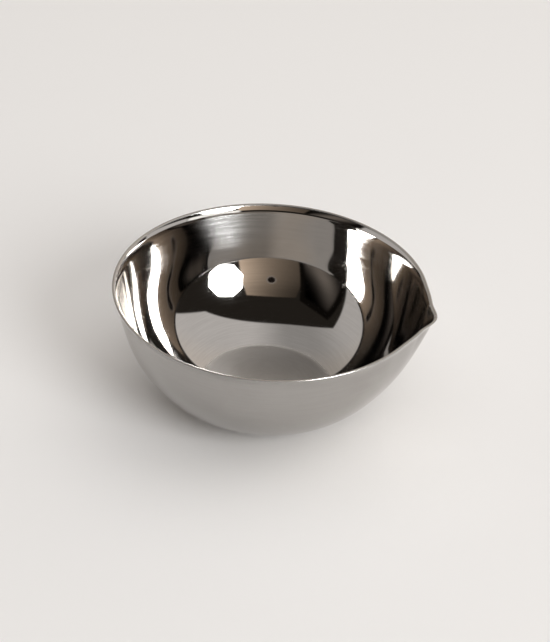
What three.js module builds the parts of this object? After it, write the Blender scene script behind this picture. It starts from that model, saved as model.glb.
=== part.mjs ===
// A polished steel bowl with a pouring spout, drawn from one piece of sheet.
// Millimetres, +Z up. The origin is the centre of the flat base, on the plane that the bowl stands on,
// and +X points out of the spout.
import * as THREE from "three";

// Driving dimensions, in millimetres
const MOUTH_RADIUS = 50; // outer edge of the lip, away from the spout
const HEIGHT = 41.2; // from the plane that the bowl stands on to the top of the lip
const SHEET = 0.8; // thickness of the steel
const UPPER_WALL_HEIGHT = 0.9; // height of the straight wall between the curved wall and the lip
const LIP_HEIGHT = 2.25; // height of the flared lip
const FLARE_REACH = 1.65; // how far the lip swells out around the spout
const FLARE_DEPTH = 38; // how far down from the lip that swelling runs before it fades into the wall
const NOSE_REACH = 1.8; // how far the spout's narrow nose stands out past the swelling
const NOSE_DEPTH = 20; // how far down from the lip the nose's keel runs

// Driving angles, in degrees
const BASE_ANGLE = 19.3; // slope of the curved wall where it leaves the flat base
const EASING_TURN = 12; // how far the wall turns at its top, where its curvature falls evenly to none
const WALL_LEAN = 10; // lean of the straight upper wall from the vertical
const LIP_FLARE = 26; // lean of the lip from the vertical
const FLARE_HALF_ANGLE = 22.5; // to each side of +X, how far around the bowl the swelling runs
const NOSE_HALF_ANGLE = 9.2; // to each side of +X, how far around the bowl the nose runs
const FADE_POWER = 1.5; // shape of the fade down the wall

// How finely the round forms are divided
const ARC_STEPS = 7;
const EASING_STEPS = 4;
const EASING_DIVISIONS = 50; // small steps summed up within each step of the easing
const UPPER_WALL_STEPS = 1;
const SPOUT_COLUMNS = 50;
const ROUND_COLUMNS = 63;

// Finish
const STEEL_COLOUR = 0xb3afa8;
const STEEL_ROUGHNESS = 0.1;
const STEEL_METALNESS = 1;

const baseAngle = THREE.MathUtils.degToRad(BASE_ANGLE);
const wallLean = THREE.MathUtils.degToRad(WALL_LEAN);
const lipFlare = THREE.MathUtils.degToRad(LIP_FLARE);
const easingTurn = THREE.MathUtils.degToRad(EASING_TURN);
const arcEnd = Math.PI / 2 - wallLean - easingTurn;

// The easing joins the wall's arc to its straight upper part. Its lengths are given for an arc of radius 1, and the
// curvature falls evenly along it from the arc's to none.
const easingLength = 2 * easingTurn;

// Slope of the wall at a length along the easing.
function easingSlope(run) {
  return arcEnd + run - run ** 2 / (2 * easingLength);
}

// The easing's points, from its start at (0, 0), as small straight steps summed up.
function easingPath() {
  const points = [new THREE.Vector2(0, 0)];
  const step = easingLength / (EASING_STEPS * EASING_DIVISIONS);
  const at = new THREE.Vector2(0, 0);
  for (let i = 1; i <= EASING_STEPS * EASING_DIVISIONS; i += 1) {
    const slope = easingSlope((i - 0.5) * step);
    at.x += step * Math.cos(slope);
    at.y += step * Math.sin(slope);
    if (i % EASING_DIVISIONS === 0) points.push(at.clone());
  }
  return points;
}

// The wall's profile is placed from the lip inwards: the lip's crease, the straight upper wall, the easing, and the arc
// that runs from it to the flat base. The arc's radius is the one that fills the height left to the arc and easing.
// Every point of a profile has its radius as x and its height as y.
const easing = easingPath();
const easingEnd = easing[EASING_STEPS];
const creaseZ = HEIGHT - LIP_HEIGHT;
const lipInnerRadius = MOUTH_RADIUS - SHEET / Math.cos(lipFlare);
const creaseRadius = lipInnerRadius - LIP_HEIGHT * Math.tan(lipFlare);
const curvedHeight = creaseZ - UPPER_WALL_HEIGHT - SHEET;
const wallArcRadius = curvedHeight / (Math.cos(baseAngle) - Math.cos(arcEnd) + easingEnd.y);
const arcCentreZ = SHEET + wallArcRadius * Math.cos(baseAngle);
const arcTopZ = arcCentreZ - wallArcRadius * Math.cos(arcEnd);
const easingTopRadius = creaseRadius - UPPER_WALL_HEIGHT * Math.tan(wallLean);
const arcTopRadius = easingTopRadius - wallArcRadius * easingEnd.x;
const arcCentreRadius = arcTopRadius - wallArcRadius * Math.sin(arcEnd);

// Points of one side of the wall, a distance out from its inside: an arc from the height of the flat base, the easing,
// then the straight upper wall up to the crease.
function wallPoints(distance, baseZ, crease) {
  const arcRadius = wallArcRadius + distance;
  const start = Math.acos((arcCentreZ - baseZ) / arcRadius);
  const arc = Array.from({ length: ARC_STEPS + 1 }, (_, step) => {
    const angle = start + ((arcEnd - start) * step) / ARC_STEPS;
    const radius = arcCentreRadius + arcRadius * Math.sin(angle);
    return new THREE.Vector2(radius, step === 0 ? baseZ : arcCentreZ - arcRadius * Math.cos(angle));
  });
  const eased = easing.slice(1).map((point, i) => {
    const slope = easingSlope((easingLength * (i + 1)) / EASING_STEPS);
    const radius = arcTopRadius + wallArcRadius * point.x + distance * Math.sin(slope);
    return new THREE.Vector2(radius, arcTopZ + wallArcRadius * point.y - distance * Math.cos(slope));
  });
  const straight = Array.from({ length: UPPER_WALL_STEPS }, (_, step) =>
    eased[EASING_STEPS - 1].clone().lerp(crease, (step + 1) / UPPER_WALL_STEPS),
  );
  return [...arc, ...eased, ...straight];
}

// The inside of the sheet, from the edge of the flat floor to the inner edge of the lip.
function insideProfile() {
  const crease = new THREE.Vector2(creaseRadius, creaseZ);
  return [...wallPoints(0, SHEET, crease), new THREE.Vector2(lipInnerRadius, HEIGHT)];
}

// The outside of the sheet, one thickness further out, with its own crease where the two offset lines meet.
function outsideProfile() {
  const lean = (wallLean + lipFlare) / 2;
  const offset = SHEET / Math.cos((lipFlare - wallLean) / 2);
  const crease = new THREE.Vector2(creaseRadius + offset * Math.cos(lean), creaseZ - offset * Math.sin(lean));
  return [...wallPoints(SHEET, 0, crease), new THREE.Vector2(MOUTH_RADIUS, HEIGHT)];
}

// Azimuths of the columns around the bowl: fine across the spout, even around the rest.
function columnAngles() {
  const half = THREE.MathUtils.degToRad(FLARE_HALF_ANGLE);
  const across = Array.from({ length: SPOUT_COLUMNS }, (_, i) => -half + (2 * half * i) / SPOUT_COLUMNS);
  const rest = 2 * Math.PI - 2 * half;
  const around = Array.from({ length: ROUND_COLUMNS }, (_, i) => half + (rest * i) / ROUND_COLUMNS);
  return [...across, ...around];
}

// A smooth hill across the spout: 1 in its middle, and 0 from the given angle to each side on.
function hill(azimuth, halfAngle) {
  const share = Math.min(1, Math.abs(azimuth) / THREE.MathUtils.degToRad(halfAngle));
  return Math.cos((Math.PI / 2) * share) ** 2;
}

// How far the spout stands out past the round wall: a broad swelling, and a narrow nose in the middle of it, both
// fading down the wall.
function spoutReach(z, azimuth) {
  const depth = HEIGHT - z;
  const flareFade = 1 - Math.min(1, depth / FLARE_DEPTH) ** FADE_POWER;
  const noseFade = (1 - Math.min(1, depth / NOSE_DEPTH)) ** FADE_POWER;
  const flare = FLARE_REACH * flareFade * hill(azimuth, FLARE_HALF_ANGLE);
  const nose = NOSE_REACH * noseFade * hill(azimuth, NOSE_HALF_ANGLE);
  return flare + nose;
}

// One ring of points around the bowl at a point of its profile.
function ring(point, angles) {
  return angles.map((angle) => {
    const azimuth = Math.atan2(Math.sin(angle), Math.cos(angle));
    const radius = point.x + spoutReach(point.y, azimuth);
    return new THREE.Vector3(radius * Math.cos(angle), radius * Math.sin(angle), point.y);
  });
}

// Triangles of the flat disc inside a ring, around a small triangle at its middle, facing up or down.
function discTriangles(edge, facing) {
  const z = edge[0].z;
  const hub = [0, 1, 2].map((k) => {
    const angle = (2 * Math.PI * k) / 3;
    const radius = edge[0].length() / 3;
    return new THREE.Vector3(radius * Math.cos(angle), radius * Math.sin(angle), z);
  });
  const corners = [...edge, ...hub];
  const faces = THREE.ShapeUtils.triangulateShape(edge, [hub]).map((face) => face.map((i) => corners[i]));
  const normal = new THREE.Vector3();
  return [...faces, hub].map((face) => {
    THREE.Triangle.getNormal(...face, normal);
    return normal.z * facing > 0 ? face : [...face].reverse();
  });
}

// Triangles of the band between two rings, for rings that run counter-clockwise seen from above.
function bandTriangles(lower, upper) {
  return lower.flatMap((corner, i) => {
    const next = (i + 1) % lower.length;
    return [
      [corner, lower[next], upper[next]],
      [corner, upper[next], upper[i]],
    ];
  });
}

// The closed sheet: the underside, the outside from the base to the lip, the cut edge, and the inside back down.
function bowlGeometry() {
  const angles = columnAngles();
  const outside = outsideProfile().map((point) => ring(point, angles));
  const inside = insideProfile().map((point) => ring(point, angles));
  const rings = [...outside, ...inside.reverse()];
  const triangles = [
    ...discTriangles(rings[0], -1),
    ...rings.slice(1).flatMap((upper, i) => bandTriangles(rings[i], upper)),
    ...discTriangles(rings[rings.length - 1], 1),
  ];
  const geometry = new THREE.BufferGeometry().setFromPoints(triangles.flat());
  geometry.computeVertexNormals();
  return geometry;
}

const steel = new THREE.MeshStandardMaterial({
  color: STEEL_COLOUR,
  roughness: STEEL_ROUGHNESS,
  metalness: STEEL_METALNESS,
});

const bowl = new THREE.Mesh(bowlGeometry(), steel);
bowl.name = "bowl";

const part = new THREE.Group();
part.add(bowl);

export default part;
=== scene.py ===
"""A polished steel bowl with a pouring spout: its fine surface, its finish and a plain studio around it."""
import math
from types import SimpleNamespace

import bpy
import numpy as np
from mathutils import Matrix, Vector


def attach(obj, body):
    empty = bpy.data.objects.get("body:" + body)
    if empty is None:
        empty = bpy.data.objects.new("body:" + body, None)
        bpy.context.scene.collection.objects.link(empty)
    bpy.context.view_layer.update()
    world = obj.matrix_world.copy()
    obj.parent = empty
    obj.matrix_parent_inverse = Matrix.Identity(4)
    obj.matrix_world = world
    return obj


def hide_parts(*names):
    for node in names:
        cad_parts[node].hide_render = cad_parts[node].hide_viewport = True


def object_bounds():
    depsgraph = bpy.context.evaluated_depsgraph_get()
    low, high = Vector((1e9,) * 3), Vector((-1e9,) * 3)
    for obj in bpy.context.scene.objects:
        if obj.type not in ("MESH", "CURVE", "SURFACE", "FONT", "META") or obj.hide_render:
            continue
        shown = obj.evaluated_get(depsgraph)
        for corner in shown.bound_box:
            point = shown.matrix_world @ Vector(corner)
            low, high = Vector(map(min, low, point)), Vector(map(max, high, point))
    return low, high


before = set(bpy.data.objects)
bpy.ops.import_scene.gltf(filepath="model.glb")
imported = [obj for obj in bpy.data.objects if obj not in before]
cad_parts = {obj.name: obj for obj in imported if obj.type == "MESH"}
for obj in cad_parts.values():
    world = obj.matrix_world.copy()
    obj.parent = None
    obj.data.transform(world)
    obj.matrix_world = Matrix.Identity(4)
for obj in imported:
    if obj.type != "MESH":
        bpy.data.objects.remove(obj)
cad_low, cad_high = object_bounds()

MM = 0.001

# Bowl, in metres and radians, as in the solid
MOUTH_RADIUS = 50 * MM
HEIGHT = cad_high.z - cad_low.z
SHEET = 0.8 * MM
WALL_ARC_RADIUS = 38.21 * MM
WALL_EASING = 16 * MM
LIP_HEIGHT = 2.25 * MM
FLARE_REACH = 1.65 * MM
FLARE_DEPTH = 38 * MM
NOSE_REACH = 1.8 * MM
NOSE_DEPTH = 20 * MM
BASE_ANGLE = math.radians(19.3)
WALL_LEAN = math.radians(10)
LIP_FLARE = math.radians(26)
FLARE_HALF_ANGLE = math.radians(22.5)
NOSE_HALF_ANGLE = math.radians(9.2)
FADE_POWER = 1.5

# Small roundings that a drawn and polished sheet has, and the curved lip's lean and straight end
FLOOR_KNUCKLE = 3 * MM
LIP_EDGE_LEAN = math.radians(30)
LIP_STRAIGHT = 0.47 * MM
INNER_EDGE_ROUNDING = 0.8 * MM
OUTER_EDGE_ROUNDING = 0.15 * MM

# Rows of the fine mesh along each stretch of the sheet, small steps summed up in each row of the easing,
# and columns around the bowl
FLOOR_ROWS = 10
KNUCKLE_ROWS = 6
WALL_ROWS = 44
EASING_ROWS = 20
EASING_DIVISIONS = 50
UPPER_WALL_ROWS = 2
LIP_ARC_ROWS = 14
LIP_ROWS = 2
EDGE_ROWS = 7
SPOUT_COLUMNS = 150
ROUND_COLUMNS = 250

# Colours of the steel, as linear red, green and blue
# The dull end also gives the outside its painted shade
DULL_AND_SHADED_STEEL = (0.38, 0.365, 0.35)
BRIGHT_STEEL = (0.56, 0.545, 0.53)
# Painted highlight: the whiter colour laid on the patch where the softbox's smear shows
PAINTED_HIGHLIGHT_STEEL = (0.62, 0.63, 0.635)
CUT_STEEL = (0.44, 0.43, 0.42)

# How far the tone lies from dull to bright outside and inside, and what streaks and marks add to it. The
# outside's darker tone is painted shade, for the shadowed floor that it mirrors
TONE_BY_SIDE = (0.1, 0.75)
COARSE_STREAKS = (-0.1, 0.12)
FINE_STREAKS = (-0.06, 0.08)
STREAKS_BY_SIDE = (0.55, 1.0)
MARK_DULLING = -0.16

# Shares of the painted highlight colour on the patch where the softbox's smear shows, and of the cut edge's
# colour, unmarked and marked
PAINTED_HIGHLIGHT_SHARE = 0.8
CUT_SHARE = (0.9, 0.4)

# Heights over which the brushed band below the lip comes in and goes out, and the satin floor ends
BAND_START = (22 * MM, 28 * MM)
BAND_END = (38.2 * MM, 38.7 * MM)
FLOOR_END = (0.9 * MM, 1.3 * MM)

# Side of the bowl, as a level direction, where the band has a rougher patch with a painted highlight of the
# softbox's smear, and how far out along it that patch comes in
HIGHLIGHT_PATCH_SIDE = (-0.527, 0.85)
HIGHLIGHT_PATCH_START = (0.875 * MOUTH_RADIUS, 0.94 * MOUTH_RADIUS)

# Roughness of the polish, from the bottom to the top of its lines, and what each kind of surface adds to it
POLISH_ROUGHNESS = (0.03, 0.06)
HIGHLIGHT_PATCH_ROUGHNESS = (0.1, 0.16)
OUTSIDE_ROUGHNESS = 0.06
BRUSHED_ROUGHNESS = 0.03
FLOOR_ROUGHNESS = 0.3
CUT_ROUGHNESS = 0.12
MARK_ROUGHNESS = 0.035
SCRATCH_ROUGHNESS = 0.07
BAND_ANISOTROPY = 0.9

# Waves of the drawn sheet in each metre, and the relief of the steel in millimetres
SHEET_WAVES = 38.0
WAVE_RELIEF = 0.03
BAND_RELIEF = 0.0012
HIGHLIGHT_PATCH_RELIEF = 0.0015
SCRATCH_RELIEF = -0.0004

# Camera, placed from the outline of the mouth in the 550 by 642 picture
PICTURE = (550, 642)
CAMERA_DISTANCE = 8 * MOUTH_RADIUS
CAMERA_AZIMUTH = math.radians(15.8)
CAMERA_ELEVATION = math.radians(33.79)
CAMERA_ROLL = math.radians(3.1)
MOUTH_CENTRE_PIXEL = (271.3, 283.4)
FOCAL_PIXELS = 1267.4
SENSOR = 36.0

# Floor, in metres
FLOOR_RADIUS = 6.0
FLOOR_SIDES = 96
FLOOR_DROP = 0.05 * MM
FLOOR_COLOUR = (0.84, 0.835, 0.83)

# Softbox as seen from the bowl, with azimuth from the camera round to the right, and its glow in mirrors
SOFTBOX_AZIMUTH = math.radians(43.5)
SOFTBOX_ELEVATION = math.radians(29.5)
SOFTBOX_HALF_WIDTH = math.radians(13.6)
SOFTBOX_HALF_HEIGHT = math.radians(15.3)
SOFTBOX_DISTANCE = 1.2
SOFTBOX_SIDES = 8
SOFTBOX_GLOW = 40.0
SOFTBOX_COLOUR = (1.0, 0.99, 0.97)

# Lamps: the one behind the softbox is so many times as far away and as large
SOFTBOX_LAMP_SCALE = 2
SOFTBOX_LAMP_POWER = 34.0
OVERHEAD_POWER = 9.5
OVERHEAD_WIDTH = 2.4
OVERHEAD_HEIGHT = 1.5

# The camera's lens, as the bowl mirrors it
LENS_RADIUS = 22 * MM
LENS_RING_RADIUS = 31 * MM
LENS_RING_SETBACK = 2 * MM
LENS_SIDES = 48
LENS_COLOUR = (0.01, 0.007, 0.006)
LENS_RING_COLOUR = (0.34, 0.29, 0.25)

# Dome of surroundings, with its tones as linear red, green and blue
TENT_RADIUS = 3.0
TENT_ROWS = 120
TENT_COLUMNS = 480
PALE_CLOTH = np.array([1.0, 0.96, 0.925])
WARM_CLOTH = np.array([1.0, 0.91, 0.82])
DARK_ROOM = np.array([0.026, 0.022, 0.018])
TAN_WALL = np.array([0.315, 0.245, 0.185])
TABLE_TONE = np.array([1.7, 1.66, 1.6])
FRAME_TONE = np.array([0.006, 0.005, 0.004])
SCREEN_TONE = np.array([0.21, 0.18, 0.155])

# Tan wall behind the camera: its sides and its bottom and top, as slopes seen from the bowl, the angle
# across which it fades by a factor e, and the slopes between which it dims upwards, with the share it loses
WALL_SIDES = (-0.555, 0.525)
WALL_RISE = (0.19, 1.25)
WALL_FADE = math.radians(25)
WALL_DIM_RISE = (0.5, 1.1)
WALL_DIM_SHARE = 0.4

# Corners of a dim screen and its frame, of the lit table under the softbox and of the tent's two low sides,
# as degrees seen from the bowl: azimuth from the camera round to the right, and elevation
SCREEN = [(-25, 10), (-61, 8), (-69, 44), (-38, 44)]
SCREEN_FRAME = [(-21, 10), (-66, 8), (-78, 48), (-35, 49)]
LIT_TABLE = [(66, -10), (26, -10), (26, 12), (66, 12)]
LOW_SIDES = [
    [(104, -10), (67, -10), (67, 14), (104, 14)],
    [(-63, -10), (-104, -10), (-104, 15.5), (-63, 15.5)],
]

# Softness of the borders of these forms, as a share of the distance
OPENING_EDGE = 0.012
WALL_EDGE = 0.02
SCREEN_EDGE = 0.03
FRAME_EDGE = 0.012
TABLE_EDGE = 0.03
LOW_SIDE_EDGE = 0.02

# Glow of the screen, in degrees: the slant and width of its bright stretch, its top, and the rise to there
GLOW_SLANT = 26
GLOW_WIDTH = 12
GLOW_TOP = 46
GLOW_RISE = 26


def arc(centre, radius, start, end, steps):
    """Points on a circle, and the way the path turns there.

    The points are centre + radius (sin t, -cos t), for t from start to end."""
    turn = np.linspace(start, end, steps)
    points = np.stack([centre[0] + radius * np.sin(turn), centre[1] - radius * np.cos(turn)], axis=1)
    return points, turn


def line(start, end, steps, turn):
    """Points on a straight line from start to end, both ends left out, with one direction."""
    share = np.linspace(0, 1, steps + 2)[1:-1, None]
    points = np.asarray(start) * (1 - share) + np.asarray(end) * share
    return points, np.full(steps, turn)


def moved(path, shift):
    """A path's points moved by a shift, with its directions as they were."""
    points, turn = path
    return points + shift, turn


def lip_path():
    """The lip's curve on the inside, from the wall to just below the edge, and the place of its top.

    Its circle lies outside the sheet, touches the leaning wall and ends with the lean of the edge. The
    wall's line goes through the crease of the solid's straight lip."""
    crease = np.array([MOUTH_RADIUS - SHEET / math.cos(LIP_FLARE), HEIGHT])
    crease = crease - LIP_HEIGHT * np.array([math.tan(LIP_FLARE), 1.0])
    lip_top = np.array([MOUTH_RADIUS - SHEET / math.cos(LIP_EDGE_LEAN), HEIGHT])
    lip_end = lip_top - LIP_STRAIGHT * np.array([math.sin(LIP_EDGE_LEAN), math.cos(LIP_EDGE_LEAN)])
    outward = np.array([math.cos(WALL_LEAN), -math.sin(WALL_LEAN)])
    radius = (lip_end - crease) @ outward / (1 - math.cos(LIP_EDGE_LEAN - WALL_LEAN))
    centre = lip_end + radius * np.array([math.cos(LIP_EDGE_LEAN), -math.sin(LIP_EDGE_LEAN)])
    lip = arc(centre, -radius, math.pi / 2 - WALL_LEAN, math.pi / 2 - LIP_EDGE_LEAN, LIP_ARC_ROWS)
    return lip, lip_top


def easing_path(start, ease_start):
    """The easing, from the end of the wall arc, where the path has the direction ease_start.

    The curvature falls evenly along it from the wall arc's to none, so that reflections run on without a
    kink. Its points are small straight steps summed up."""
    run = np.linspace(0, WALL_EASING, EASING_ROWS * EASING_DIVISIONS + 1)
    turn = ease_start + (run - run**2 / (2 * WALL_EASING)) / WALL_ARC_RADIUS
    middle = (turn[1:] + turn[:-1]) / 2
    steps = np.stack([np.cos(middle), np.sin(middle)], axis=1) * (run[1] - run[0])
    points = start + np.concatenate([[[0.0, 0.0]], np.cumsum(steps, axis=0)])
    return points[EASING_DIVISIONS::EASING_DIVISIONS], turn[EASING_DIVISIONS::EASING_DIVISIONS]


def inside_path():
    """The inside of the sheet as (radius, height) points, from the middle of the floor up to the lip.

    Flat floor, small knuckle arc, large wall arc, easing, straight leaning wall and a lip that curves out,
    each tangent to the next. Also returns the direction of the path at each point, as an angle above the
    horizontal, and the place of the lip's top."""
    lip, lip_top = lip_path()

    # Knuckle and wall arc, from the floor's height up, and the easing after them, placed by their own sizes
    wall_end = math.pi / 2 - WALL_LEAN
    ease_start = wall_end - WALL_EASING / (2 * WALL_ARC_RADIUS)
    centre_z = SHEET + WALL_ARC_RADIUS * math.cos(BASE_ANGLE)
    rest = WALL_ARC_RADIUS - FLOOR_KNUCKLE
    wall_start = math.acos((centre_z - SHEET - FLOOR_KNUCKLE) / rest)
    knuckle_centre = (rest * math.sin(wall_start), SHEET + FLOOR_KNUCKLE)
    knuckle = arc(knuckle_centre, FLOOR_KNUCKLE, 0.0, wall_start, KNUCKLE_ROWS)
    wall, wall_turn = arc((0.0, centre_z), WALL_ARC_RADIUS, wall_start, ease_start, WALL_ROWS)
    easing = easing_path(wall[-1], ease_start)

    # All of these move out together until the easing ends on the straight wall below the lip
    top = easing[0][-1]
    lip_start = lip[0][0]
    shift = np.array([lip_start[0] - (lip_start[1] - top[1]) * math.tan(WALL_LEAN) - top[0], 0.0])
    knuckle = moved(knuckle, shift)
    floor = line((0.0, SHEET), knuckle[0][0], FLOOR_ROWS, 0.0)
    upper = line(top + shift, lip_start, UPPER_WALL_ROWS, wall_end)
    parts = [floor, knuckle, moved((wall[1:], wall_turn[1:]), shift), moved(easing, shift), upper, lip]
    points = np.concatenate([stretch for stretch, _ in parts])
    turn = np.concatenate([stretch for _, stretch in parts])
    return points, turn, lip_top


def sheet_profile():
    """The closed section of the sheet, from the middle of the underside round to the middle of the floor.

    The points are (radius, height). The outside is the inside moved one thickness along its normal
    (sin turn, -cos turn). The lip ends in a flat cut edge with a small rounding at each corner. Also
    returns which rows lie outside, on the cut edge and inside, as 0, 1 and 2."""
    inside, turn, lip_top = inside_path()
    outside = inside + SHEET * np.stack([np.sin(turn), -np.cos(turn)], axis=1)
    lip_turn = math.pi / 2 - LIP_EDGE_LEAN
    inner_cut = INNER_EDGE_ROUNDING * math.tan(lip_turn / 2)
    inner_centre = lip_top + np.array([inner_cut, -INNER_EDGE_ROUNDING])
    inner_edge, _ = arc(inner_centre, -INNER_EDGE_ROUNDING, 0.0, lip_turn, EDGE_ROWS)
    outer_cut = OUTER_EDGE_ROUNDING * math.tan((math.pi - lip_turn) / 2)
    outer_centre = np.array([MOUTH_RADIUS - outer_cut, HEIGHT - OUTER_EDGE_ROUNDING])
    outer_edge, _ = arc(outer_centre, OUTER_EDGE_ROUNDING, lip_turn, math.pi, EDGE_ROWS)
    outer_lip, _ = line(outside[-1], outer_edge[0], LIP_ROWS, lip_turn)
    inner_lip, _ = line(inner_edge[-1], inside[-1], LIP_ROWS, lip_turn)
    stretches = [outside, outer_lip, outer_edge, inner_edge, inner_lip, inside[::-1]]
    sides = np.repeat([0, 0, 1, 1, 2, 2], [len(stretch) for stretch in stretches])
    return np.concatenate(stretches), sides


def column_angles():
    """Azimuths around the bowl: close together across the spout, even around the rest."""
    across = np.linspace(-FLARE_HALF_ANGLE, FLARE_HALF_ANGLE, SPOUT_COLUMNS, endpoint=False)
    around = np.linspace(FLARE_HALF_ANGLE, 2 * math.pi - FLARE_HALF_ANGLE, ROUND_COLUMNS, endpoint=False)
    return np.concatenate([across, around])


def hill(azimuth, half_angle):
    """A smooth hill across the spout: cos squared, 1 in the middle and 0 from half_angle on."""
    turn = np.abs((azimuth + math.pi) % (2 * math.pi) - math.pi)
    return np.cos(math.pi / 2 * np.minimum(1, turn / half_angle)) ** 2


def spout_reach(height, azimuth):
    """How far the spout stands out past the round wall.

    A broad swelling and a narrow nose, both fading downwards."""
    depth = HEIGHT - height
    flare_fade = 1 - np.clip(depth / FLARE_DEPTH, 0, 1) ** FADE_POWER
    nose_fade = (1 - np.clip(depth / NOSE_DEPTH, 0, 1)) ** FADE_POWER
    flare = FLARE_REACH * flare_fade * hill(azimuth, FLARE_HALF_ANGLE)
    return flare + NOSE_REACH * nose_fade * hill(azimuth, NOSE_HALF_ANGLE)


def grid_faces(rows, columns):
    """Quads of a grid whose columns close on themselves, as vertex numbers row * columns + column."""
    row = np.arange(rows - 1)[:, None] * columns
    column = np.arange(columns)[None, :]
    after = (column + 1) % columns
    quads = np.stack([row + column, row + after, row + columns + after, row + columns + column], axis=-1)
    return quads.reshape(-1, 4)


def bowl_mesh():
    """The sheet's section carried around the axis.

    One point closes the middle of the underside, and one the middle of the floor."""
    profile, sides = sheet_profile()
    azimuth = column_angles()
    radius, height = profile[:, [0]], profile[:, [1]]
    distance = radius + spout_reach(height, azimuth[None, :])
    level = np.broadcast_to(height, distance.shape)
    grid = np.stack([distance * np.cos(azimuth), distance * np.sin(azimuth), level], axis=-1)
    rows, columns = distance.shape
    poles = np.array([[0, 0, 0], [0, 0, SHEET]])
    points = np.concatenate([grid.reshape(-1, 3), poles])
    ring = np.arange(columns)
    after = (ring + 1) % columns
    underside = np.stack([np.full(columns, rows * columns), after, ring], axis=1)
    top_row = (rows - 1) * columns
    floor = np.stack([np.full(columns, rows * columns + 1), top_row + ring, top_row + after], axis=1)
    faces = grid_faces(rows, columns).tolist() + underside.tolist() + floor.tolist()
    mesh = bpy.data.meshes.new("bowl_sheet")
    mesh.from_pydata(points.tolist(), [], faces)
    mesh.polygons.foreach_set("use_smooth", np.ones(len(faces), dtype=bool))
    for name, side in (("cut_edge", 1), ("inside", 2)):
        share = np.concatenate([np.repeat(sides == side, columns), [False, side == 2]])
        stored = mesh.attributes.new(name, "FLOAT", "POINT")
        stored.data.foreach_set("value", share.astype(np.float32))
    mesh.update()
    return mesh


def new_material(name):
    """An empty node material and its output node."""
    material = bpy.data.materials.new(name)
    material.use_nodes = True
    material.node_tree.nodes.clear()
    output = material.node_tree.nodes.new("ShaderNodeOutputMaterial")
    return material, material.node_tree, output


def feed(tree, socket, value):
    """Links a socket to another one, or sets it to a value."""
    if isinstance(value, bpy.types.NodeSocket):
        tree.links.new(value, socket)
    else:
        socket.default_value = value


def maths(tree, operation, first, second=None):
    """One Math node, whose inputs are sockets or numbers."""
    node = tree.nodes.new("ShaderNodeMath")
    node.operation = operation
    feed(tree, node.inputs[0], first)
    if second is not None:
        feed(tree, node.inputs[1], second)
    return node.outputs[0]


def total(tree, *values):
    """The sum of several sockets or numbers."""
    result = values[0]
    for value in values[1:]:
        result = maths(tree, "ADD", result, value)
    return result


def times(tree, *values):
    """The product of several sockets or numbers."""
    result = values[0]
    for value in values[1:]:
        result = maths(tree, "MULTIPLY", result, value)
    return result


def map_range(tree, value, from_low, from_high, to_low, to_high, smooth=False):
    """One Map Range node on a socket."""
    node = tree.nodes.new("ShaderNodeMapRange")
    if smooth:
        node.interpolation_type = "SMOOTHSTEP"
    tree.links.new(value, node.inputs["Value"])
    node.inputs["From Min"].default_value = from_low
    node.inputs["From Max"].default_value = from_high
    node.inputs["To Min"].default_value = to_low
    node.inputs["To Max"].default_value = to_high
    return node.outputs["Result"]


def mix_colours(tree, first, second, factor):
    """One Mix node between two colours, of which the first may be a socket."""
    node = tree.nodes.new("ShaderNodeMix")
    node.data_type = "RGBA"
    feed(tree, node.inputs["A"], first if isinstance(first, bpy.types.NodeSocket) else (*first, 1))
    node.inputs["B"].default_value = (*second, 1)
    tree.links.new(factor, node.inputs["Factor"])
    return node.outputs["Result"]


def noise(tree, vector, scale, detail, roughness=0.5):
    """One Noise node, whose scale is a socket or a number."""
    node = tree.nodes.new("ShaderNodeTexNoise")
    node.inputs["Detail"].default_value = detail
    node.inputs["Roughness"].default_value = roughness
    tree.links.new(vector, node.inputs["Vector"])
    feed(tree, node.inputs["Scale"], scale)
    return node.outputs["Fac"]


def mask(tree, name):
    """A mask stored on the mesh."""
    node = tree.nodes.new("ShaderNodeAttribute")
    node.attribute_name = name
    return node.outputs["Fac"]


def new_group(name, inputs, output):
    """An empty shader node group, and its input and output nodes.

    It has a Vector input, float inputs with their usual values, and one float output."""
    tree = bpy.data.node_groups.new(name, "ShaderNodeTree")
    tree.interface.new_socket("Vector", in_out="INPUT", socket_type="NodeSocketVector")
    for key, usual in inputs.items():
        socket = tree.interface.new_socket(key, in_out="INPUT", socket_type="NodeSocketFloat")
        socket.default_value = usual
    tree.interface.new_socket(output, in_out="OUTPUT", socket_type="NodeSocketFloat")
    return tree, tree.nodes.new("NodeGroupInput"), tree.nodes.new("NodeGroupOutput")


def place_group(tree, group, vector, **values):
    """Places a node group, with its Vector linked and its other inputs set, and returns its one output."""
    node = tree.nodes.new("ShaderNodeGroup")
    node.node_tree = group
    tree.links.new(vector, node.inputs["Vector"])
    for name, value in values.items():
        node.inputs[name].default_value = value
    return node.outputs[0]


def polish_lines_group():
    """Fine lines that a polishing wheel leaves around a spun shape.

    Noise is read at (L cos a, L sin a, F (r + z)): it changes slowly around the axis and quickly along the
    section, so its streaks run round the bowl. Fineness F is in lines per metre, and Length L sets how soon
    a line fades out."""
    tree, given, result = new_group("polish_lines", {"Fineness": 900.0, "Length": 3.0}, "Lines")
    split = tree.nodes.new("ShaderNodeSeparateXYZ")
    tree.links.new(given.outputs["Vector"], split.inputs[0])
    x, y, z = split.outputs
    across = maths(tree, "SQRT", total(tree, times(tree, x, x), times(tree, y, y)))
    safe = maths(tree, "MAXIMUM", across, 1e-4)
    length = given.outputs["Length"]
    join = tree.nodes.new("ShaderNodeCombineXYZ")
    tree.links.new(times(tree, maths(tree, "DIVIDE", x, safe), length), join.inputs["X"])
    tree.links.new(times(tree, maths(tree, "DIVIDE", y, safe), length), join.inputs["Y"])
    tree.links.new(times(tree, total(tree, across, z), given.outputs["Fineness"]), join.inputs["Z"])
    tree.links.new(noise(tree, join.outputs[0], 1.0, 3.0, 0.6), result.inputs["Lines"])
    return tree


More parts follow.
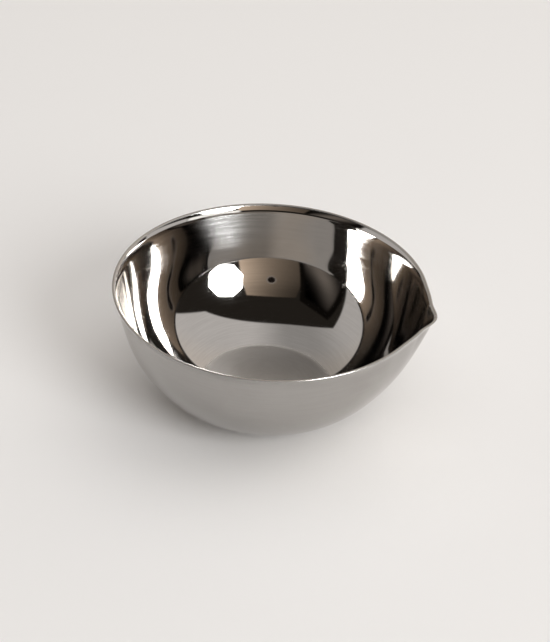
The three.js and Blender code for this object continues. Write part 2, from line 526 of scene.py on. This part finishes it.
def scratches_group():
    """Sparse hairline scratches: the thin borders between cells, kept only where a slow noise is high.

    Scale is in cells per metre, Width is the share of a cell that a line takes, and a higher Amount keeps
    more of the lines."""
    usual = {"Scale": 60.0, "Width": 0.01, "Amount": 0.4}
    tree, given, result = new_group("scratches", usual, "Scratches")
    vector = given.outputs["Vector"]
    cells = tree.nodes.new("ShaderNodeTexVoronoi")
    cells.feature = "DISTANCE_TO_EDGE"
    tree.links.new(vector, cells.inputs["Vector"])
    tree.links.new(given.outputs["Scale"], cells.inputs["Scale"])
    border = maths(tree, "LESS_THAN", cells.outputs["Distance"], given.outputs["Width"])
    patches = noise(tree, vector, times(tree, given.outputs["Scale"], 2.3), 1.0)
    limit = maths(tree, "SUBTRACT", 0.75, times(tree, given.outputs["Amount"], 0.5))
    kept = maths(tree, "GREATER_THAN", patches, limit)
    tree.links.new(times(tree, border, kept), result.inputs["Scratches"])
    return tree


def handling_group():
    """Soft dull patches that hands and wiping leave.

    Slow noise, raised so that most of the surface stays clear. Scale is in patches per metre, and Clear is
    the noise level below which there is no mark."""
    tree, given, result = new_group("handling_marks", {"Scale": 45.0, "Clear": 0.5}, "Marks")
    patches = noise(tree, given.outputs["Vector"], given.outputs["Scale"], 4.0, 0.6)
    above = maths(tree, "SUBTRACT", patches, given.outputs["Clear"])
    raised = maths(tree, "MAXIMUM", times(tree, above, 4.0), 0.0)
    tree.links.new(maths(tree, "MINIMUM", raised, 1.0), result.inputs["Marks"])
    return tree


def steel_patterns(tree):
    """The masks and patterns that the steel's colour, roughness and relief share."""
    place = tree.nodes.new("ShaderNodeTexCoord").outputs["Object"]
    split = tree.nodes.new("ShaderNodeSeparateXYZ")
    tree.links.new(place, split.inputs[0])
    height = split.outputs["Z"]
    inside = mask(tree, "inside")
    starts = map_range(tree, height, *BAND_START, 0.0, 1.0, smooth=True)
    ends = map_range(tree, height, *BAND_END, 1.0, 0.0, smooth=True)
    band = times(tree, starts, ends, inside)
    facing = tree.nodes.new("ShaderNodeVectorMath")
    facing.operation = "DOT_PRODUCT"
    facing.inputs[1].default_value = (*HIGHLIGHT_PATCH_SIDE, 0.0)
    tree.links.new(place, facing.inputs[0])
    highlight_patch = map_range(tree, facing.outputs["Value"], *HIGHLIGHT_PATCH_START, 0.0, 1.0, smooth=True)
    polish_lines = polish_lines_group()
    return SimpleNamespace(
        inside=inside,
        cut_edge=mask(tree, "cut_edge"),
        band=band,
        highlight_patch=times(tree, band, highlight_patch),
        floor=map_range(tree, height, *FLOOR_END, 1.0, 0.0, smooth=True),
        lines=place_group(tree, polish_lines, place, Fineness=1500.0, Length=3.0),
        finer=place_group(tree, polish_lines, place, Fineness=4000.0, Length=2.0),
        scratches=place_group(tree, scratches_group(), place, Scale=85.0, Width=0.004, Amount=0.2),
        marks=place_group(tree, handling_group(), place, Scale=45.0, Clear=0.52),
        waves=noise(tree, place, SHEET_WAVES, 1.0),
    )


def steel_colour(tree, look):
    """The steel's colour.

    Brighter inside than outside, where the darker tone is painted shade for the shadowed floor that the
    outside mirrors; streaked along the polishing lines and dulled by handling, then whitened on a patch of
    the band as a painted highlight of the softbox's smear, and with its own colour on the cut edge."""
    # Painted shade: the outside's tone is kept darker, for the shadowed floor that it mirrors
    bright = map_range(tree, look.inside, 0.0, 1.0, *TONE_BY_SIDE)
    coarse_streaks = map_range(tree, look.lines, 0.3, 0.7, *COARSE_STREAKS)
    fine_streaks = map_range(tree, look.finer, 0.3, 0.7, *FINE_STREAKS)
    strength = map_range(tree, look.inside, 0.0, 1.0, *STREAKS_BY_SIDE)
    streaks = times(tree, total(tree, coarse_streaks, fine_streaks), strength)
    dulled = times(tree, look.marks, MARK_DULLING)
    tint = mix_colours(tree, DULL_AND_SHADED_STEEL, BRIGHT_STEEL, total(tree, bright, streaks, dulled))
    # Painted highlight: a patch of the band is whitened where the softbox's smear shows
    highlighted = mix_colours(tree, tint, PAINTED_HIGHLIGHT_STEEL, times(tree, look.highlight_patch, PAINTED_HIGHLIGHT_SHARE))
    worn = map_range(tree, look.marks, 0.0, 1.0, *CUT_SHARE)
    return mix_colours(tree, highlighted, CUT_STEEL, times(tree, look.cut_edge, worn))


def steel_roughness(tree, look):
    """The steel's roughness: that of the polish, and what each kind of surface adds to it."""
    polish = map_range(tree, look.lines, 0.35, 0.75, *POLISH_ROUGHNESS)
    outside = map_range(tree, look.inside, 0.0, 1.0, OUTSIDE_ROUGHNESS, 0.0)
    brushed = times(tree, map_range(tree, look.lines, 0.3, 0.7, 0.0, BRUSHED_ROUGHNESS), look.band)
    highlight_patch = times(tree, map_range(tree, look.finer, 0.35, 0.65, *HIGHLIGHT_PATCH_ROUGHNESS), look.highlight_patch)
    satin = times(tree, look.floor, FLOOR_ROUGHNESS)
    cut = times(tree, look.cut_edge, CUT_ROUGHNESS)
    handled = times(tree, look.marks, MARK_ROUGHNESS)
    scored = times(tree, look.scratches, SCRATCH_ROUGHNESS)
    return total(tree, polish, outside, brushed, highlight_patch, satin, cut, handled, scored)


def steel_relief(tree, look):
    """The steel's bump: slow waves of the sheet, polishing lines in the band, and scratches."""
    band_ridges = times(tree, look.band, BAND_RELIEF)
    ridges = total(tree, band_ridges, times(tree, look.highlight_patch, HIGHLIGHT_PATCH_RELIEF))
    waves = times(tree, look.waves, WAVE_RELIEF)
    scored = times(tree, look.scratches, SCRATCH_RELIEF)
    bump = tree.nodes.new("ShaderNodeBump")
    bump.inputs["Strength"].default_value = 1.0
    bump.inputs["Distance"].default_value = MM
    tree.links.new(total(tree, waves, times(tree, look.lines, ridges), scored), bump.inputs["Height"])
    return bump.outputs["Normal"]


def steel_material():
    """Mirror-polished stainless steel.

    The inside is bright, with a satin floor and a brushed band below the lip, where light spreads across
    the polishing lines; a patch of that band is whitened as a painted highlight of the softbox's smear. The
    outside is a little duller and darker, its darker tone being painted shade for the shadowed floor that
    it mirrors, and the cut edge is a little duller. Scratches, handling marks and a slight waviness of the
    drawn sheet lie over all of it."""
    material, tree, output = new_material("polished_steel")
    look = steel_patterns(tree)
    shader = tree.nodes.new("ShaderNodeBsdfPrincipled")
    shader.inputs["Metallic"].default_value = 1.0
    tree.links.new(steel_colour(tree, look), shader.inputs["Base Color"])
    tree.links.new(steel_roughness(tree, look), shader.inputs["Roughness"])
    tree.links.new(steel_relief(tree, look), shader.inputs["Normal"])

    # Light spreads across the polishing lines, which run around the axis
    around = tree.nodes.new("ShaderNodeTangent")
    around.direction_type = "RADIAL"
    around.axis = "Z"
    tree.links.new(around.outputs["Tangent"], shader.inputs["Tangent"])
    shader.inputs["Anisotropic Rotation"].default_value = 0.25
    tree.links.new(times(tree, look.band, BAND_ANISOTROPY), shader.inputs["Anisotropic"])
    tree.links.new(shader.outputs[0], output.inputs["Surface"])
    return material


def glow_material(name, strength, colour=None, attribute=None):
    """A plain glowing card: one colour, or the colours stored on its mesh."""
    material, tree, output = new_material(name)
    glow = tree.nodes.new("ShaderNodeEmission")
    glow.inputs["Strength"].default_value = strength
    if attribute:
        stored = tree.nodes.new("ShaderNodeAttribute")
        stored.attribute_name = attribute
        tree.links.new(stored.outputs["Color"], glow.inputs["Color"])
    else:
        glow.inputs["Color"].default_value = (*colour, 1)
    tree.links.new(glow.outputs[0], output.inputs["Surface"])
    return material


def floor_material():
    """A plain pale tabletop."""
    material, tree, output = new_material("pale_floor")
    shader = tree.nodes.new("ShaderNodeBsdfPrincipled")
    shader.inputs["Base Color"].default_value = (*FLOOR_COLOUR, 1)
    shader.inputs["Roughness"].default_value = 0.9
    shader.inputs["Specular IOR Level"].default_value = 0.2
    tree.links.new(shader.outputs[0], output.inputs["Surface"])
    return material


def add_object(name, mesh, material):
    """Links a mesh into the scene as an object at the origin, with one material."""
    thing = bpy.data.objects.new(name, mesh)
    bpy.context.scene.collection.objects.link(thing)
    mesh.materials.append(material)
    return thing


def add_lamp(name, shape, power, width, height):
    """Links a soft lamp into the scene, which mirrors don't show."""
    data = bpy.data.lights.new(name, "AREA")
    data.shape = shape
    data.size = width
    data.size_y = height
    data.energy = power
    lamp = bpy.data.objects.new(name, data)
    lamp.visible_glossy = False
    bpy.context.scene.collection.objects.link(lamp)
    return lamp


def show_in_mirrors_only(card):
    """Hides a card from the camera and from matt surfaces, and takes its shadow away."""
    card.visible_camera = False
    card.visible_diffuse = False
    card.visible_shadow = False


def circle_points(sides):
    """Points (cos t, sin t) at even turns around a circle."""
    turn = np.linspace(0, 2 * math.pi, sides, endpoint=False)
    return np.stack([np.cos(turn), np.sin(turn)], axis=1)


def polygon_mesh(name, points):
    """A mesh of one flat face, with the points as its corners."""
    mesh = bpy.data.meshes.new(name)
    mesh.from_pydata(points.tolist(), [], [list(range(len(points)))])
    return mesh


def camera_directions():
    """Level unit vectors: to the picture's right, and from the bowl towards the camera."""
    right = np.array([math.cos(CAMERA_AZIMUTH), math.sin(CAMERA_AZIMUTH), 0.0])
    near = np.array([math.sin(CAMERA_AZIMUTH), -math.cos(CAMERA_AZIMUTH), 0.0])
    return right, near


def make_floor():
    """A round floor just under the bowl."""
    points = np.column_stack([FLOOR_RADIUS * circle_points(FLOOR_SIDES), np.full(FLOOR_SIDES, -FLOOR_DROP)])
    floor = add_object("floor", polygon_mesh("floor", points), floor_material())


def smooth_step(low, high, value):
    """0 below low, 1 above high, and an S-curve between."""
    share = np.clip((value - low) / (high - low), 0, 1)
    return share * share * (3 - 2 * share)


def strip_mask(value, low, high, edge):
    """1 between low and high and 0 outside, with soft edges."""
    return smooth_step(low - edge, low + edge, value) * (1 - smooth_step(high - edge, high + edge, value))


def toward(azimuth, elevation):
    """Unit vector (right, near, up) of a direction in degrees.

    Azimuth runs from the camera's side round to the right."""
    level = math.cos(math.radians(elevation))
    turn = math.radians(azimuth)
    return np.array([level * math.sin(turn), level * math.cos(turn), math.sin(math.radians(elevation))])


def panel_mask(ways, corners, edge):
    """1 inside a panel seen from the bowl and 0 outside, with soft edges.

    Each side is the plane through the bowl and two neighbouring corners, which run in one sense round the
    panel. A direction is inside where it lies on the inner side of all of these planes."""
    inside = np.ones(ways.shape[:-1])
    for corner, after in zip(corners, corners[1:] + corners[:1]):
        plane = np.cross(toward(*corner), toward(*after))
        plane /= np.linalg.norm(plane)
        inside = inside * smooth_step(-edge, edge, ways @ plane)
    return inside


def laid_over(room, tone, share):
    """The room's colours with a tone laid over them, by a share from 0 to 1."""
    share = share[..., None]
    return room * (1 - share) + tone * share


def cloth_colours(right, near):
    """The tent's pale cloth: brighter at the right and, less so, at the far left, and warm at the back."""
    back = smooth_step(0.2, 0.7, -near)
    tone = 0.43 + 0.34 * smooth_step(-0.22, 0.2, right) + 0.25 * smooth_step(0.4, 0.85, -right)
    tone = tone + 0.07 * back
    return tone[..., None] * laid_over(PALE_CLOTH, WARM_CLOTH, back)


def opening_mask(right, near, up):
    """1 in the tent's opening towards the camera and 0 on its cloth.

    The border says how far to the near side a direction has to point, for each place right and up."""
    right_half = np.minimum(0.19 * up, 0.737 * up - 0.51 * right)
    left_half = 0.19 * up - 0.32 * right ** 2
    low_left = 0.55 * (-right - up) + 0.02
    border = np.maximum(np.where(right > 0, right_half, left_half), low_left)
    return smooth_step(-OPENING_EDGE, OPENING_EDGE, near - border)


def tan_wall(right, near, up):
    """Where the tan wall behind the camera shows, and how bright it is there.

    It is lit from the right, so that it fades by a factor e across each WALL_FADE, and it dims upwards."""
    ahead = np.maximum(near, 1e-3)
    across, tall = right / ahead, up / ahead
    wall = strip_mask(across, *WALL_SIDES, WALL_EDGE) * strip_mask(tall, *WALL_RISE, WALL_EDGE)
    wall = wall * (near > 0.02)
    fade = np.exp(np.arctan(across) / WALL_FADE) * (1 - WALL_DIM_SHARE * smooth_step(*WALL_DIM_RISE, tall))
    return wall, fade


def screen_glow(right, near, up):
    """Brightness of the dim screen.

    A soft bright stretch lies where the azimuth to the left is the elevation plus a fixed slant. It fades
    out upwards."""
    elevation = np.degrees(np.arcsin(np.clip(up, -1, 1)))
    slant = -np.degrees(np.arctan2(right, near)) - elevation
    stretch = np.exp(-(((slant - GLOW_SLANT) / GLOW_WIDTH) ** 2))
    return stretch * np.clip((GLOW_TOP - elevation) / GLOW_RISE, 0, 1)


def tent_colours(right, near, up):
    """Brightness of the studio's surroundings by direction, seen from the bowl.

    A pale tent covers the top, back and sides. It is open towards the camera, where the room is dark,
    except for its two low sides. In the opening are a tan wall behind the camera, a lit table at the right,
    and a dim screen in a black frame at the left."""
    ways = np.stack([right, near, up], axis=-1)
    low_sides = sum(panel_mask(ways, corners, LOW_SIDE_EDGE) for corners in LOW_SIDES)
    dark = opening_mask(right, near, up) * (1 - low_sides)
    room = laid_over(cloth_colours(right, near), DARK_ROOM, dark)
    wall, fade = tan_wall(right, near, up)
    room = laid_over(room, TAN_WALL * fade[..., None], wall)
    room = laid_over(room, TABLE_TONE, panel_mask(ways, LIT_TABLE, TABLE_EDGE))
    room = laid_over(room, FRAME_TONE, panel_mask(ways, SCREEN_FRAME, FRAME_EDGE))
    glow = screen_glow(right, near, up)
    return laid_over(room, SCREEN_TONE * glow[..., None], panel_mask(ways, SCREEN, SCREEN_EDGE))


def make_tent():
    """A wide glowing dome of studio surroundings, which the camera itself doesn't see."""
    elevation = np.linspace(0, math.pi / 2, TENT_ROWS, endpoint=False)
    level, up = np.cos(elevation), np.sin(elevation)
    around = circle_points(TENT_COLUMNS)
    rings = level[:, None, None] * around
    heights = np.broadcast_to(up[:, None, None], (TENT_ROWS, TENT_COLUMNS, 1))
    points = np.concatenate([rings, heights], axis=-1)
    ways = np.concatenate([points.reshape(-1, 3), [[0, 0, 1]]])
    ring = np.arange(TENT_COLUMNS) + (TENT_ROWS - 1) * TENT_COLUMNS
    cap = np.stack([np.full(TENT_COLUMNS, TENT_ROWS * TENT_COLUMNS), ring, np.roll(ring, -1)], axis=1)
    faces = grid_faces(TENT_ROWS, TENT_COLUMNS).tolist() + cap.tolist()
    mesh = bpy.data.meshes.new("studio_tent")
    mesh.from_pydata((ways * TENT_RADIUS).tolist(), [], faces)
    right, near = camera_directions()
    colours = tent_colours(ways @ right, ways @ near, ways[:, 2])
    stored = mesh.attributes.new("tone", "FLOAT_COLOR", "POINT")
    stored.data.foreach_set("color", np.column_stack([colours, np.ones(len(colours))]).ravel())
    material = glow_material("tent_glow", 1.0, attribute="tone")
    material.cycles.emission_sampling = "NONE"
    tent = add_object("studio_tent", mesh, material)
    tent.visible_camera = False
    tent.visible_shadow = False


def make_softbox():
    """An eight-sided softbox to the right of the camera, facing the bowl.

    It is a card that only mirrors show, and behind it a lamp that looks as large from the bowl and lights
    the floor evenly."""
    half_width = SOFTBOX_DISTANCE * math.tan(SOFTBOX_HALF_WIDTH)
    half_height = SOFTBOX_DISTANCE * math.tan(SOFTBOX_HALF_HEIGHT)
    right, near = camera_directions()
    level = near * math.cos(SOFTBOX_AZIMUTH) + right * math.sin(SOFTBOX_AZIMUTH)
    way = level * math.cos(SOFTBOX_ELEVATION) + np.array([0, 0, math.sin(SOFTBOX_ELEVATION)])
    across = np.cross([0, 0, 1], way)
    across /= np.linalg.norm(across)
    tall = np.cross(way, across)
    reach = circle_points(SOFTBOX_SIDES) * [half_width, half_height] / math.cos(math.pi / SOFTBOX_SIDES)
    mesh = polygon_mesh("softbox", way * SOFTBOX_DISTANCE + reach @ np.stack([across, tall]))
    glow = glow_material("softbox_glow", SOFTBOX_GLOW, colour=SOFTBOX_COLOUR)
    softbox = add_object("softbox", mesh, glow)
    show_in_mirrors_only(softbox)

    width = 2 * half_width * SOFTBOX_LAMP_SCALE
    height = 2 * half_height * SOFTBOX_LAMP_SCALE
    lamp = add_lamp("softbox_lamp", "ELLIPSE", SOFTBOX_LAMP_POWER, width, height)
    place = way * SOFTBOX_LAMP_SCALE * SOFTBOX_DISTANCE
    columns = np.column_stack([across, tall, way, place])
    lamp.matrix_world = Matrix(columns.tolist() + [[0, 0, 0, 1]])


def make_lens():
    """The camera's lens, which the bowl mirrors: a black disc in a pale ring, where the camera is."""
    right, near = camera_directions()
    way = near * math.cos(CAMERA_ELEVATION) + np.array([0, 0, math.sin(CAMERA_ELEVATION)])
    circle = circle_points(LENS_SIDES) @ np.stack([right, np.cross(way, right)])
    camera = np.array([0, 0, HEIGHT]) + way * CAMERA_DISTANCE
    cards = (
        ("lens", LENS_RADIUS, 0.0, LENS_COLOUR),
        ("lens_ring", LENS_RING_RADIUS, LENS_RING_SETBACK, LENS_RING_COLOUR),
    )
    for name, radius, setback, colour in cards:
        mesh = polygon_mesh(name, camera + way * setback + circle * radius)
        card = add_object(name, mesh, glow_material(name + "_glow", 1.0, colour=colour))
        show_in_mirrors_only(card)


def make_overhead_lamp():
    """A wide soft lamp overhead that fills the floor."""
    lamp = add_lamp("overhead_lamp", "DISK", OVERHEAD_POWER, OVERHEAD_WIDTH, OVERHEAD_WIDTH)
    lamp.location = (0, 0, OVERHEAD_HEIGHT)


def make_world():
    """A plain white surround."""
    world = bpy.data.worlds.new("white_surround")
    world.use_nodes = True
    background = world.node_tree.nodes["Background"]
    background.inputs["Color"].default_value = (1, 1, 1, 1)
    background.inputs["Strength"].default_value = 1.0
    bpy.context.scene.world = world


def make_camera():
    """A camera with the photograph's height, turn and slight roll.

    It has the middle of the mouth on its pixel."""
    right, near = (Vector(v) for v in camera_directions())
    up = Vector((0, 0, 1))
    mouth = Vector((0, 0, HEIGHT))
    back = near * math.cos(CAMERA_ELEVATION) + up * math.sin(CAMERA_ELEVATION)
    above = up * math.cos(CAMERA_ELEVATION) - near * math.sin(CAMERA_ELEVATION)
    rolled_right = right * math.cos(CAMERA_ROLL) + above * math.sin(CAMERA_ROLL)
    rolled_up = above * math.cos(CAMERA_ROLL) - right * math.sin(CAMERA_ROLL)
    aside = (MOUTH_CENTRE_PIXEL[0] - PICTURE[0] / 2) / FOCAL_PIXELS
    below = (MOUTH_CENTRE_PIXEL[1] - PICTURE[1] / 2) / FOCAL_PIXELS
    look = (-back - aside * rolled_right + below * rolled_up).normalized()
    side = (rolled_right - look * rolled_right.dot(look)).normalized()
    data = bpy.data.cameras.new("camera")
    data.sensor_width = SENSOR
    data.lens = FOCAL_PIXELS / max(PICTURE) * SENSOR
    camera = bpy.data.objects.new("camera", data)
    turn = Matrix((side, side.cross(look), -look)).transposed().to_4x4()
    camera.matrix_world = Matrix.Translation(mouth + back * CAMERA_DISTANCE) @ turn
    bpy.context.scene.collection.objects.link(camera)
    bpy.context.scene.camera = camera


bpy.context.scene.view_settings.view_transform = "Standard"
bpy.context.scene.cycles.glossy_bounces = 12
make_camera()
make_world()
make_floor()
make_tent()
make_softbox()
make_lens()
make_overhead_lamp()

bowl = add_object("spouted_bowl", bowl_mesh(), steel_material())
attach(bowl, "root")
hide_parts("bowl")
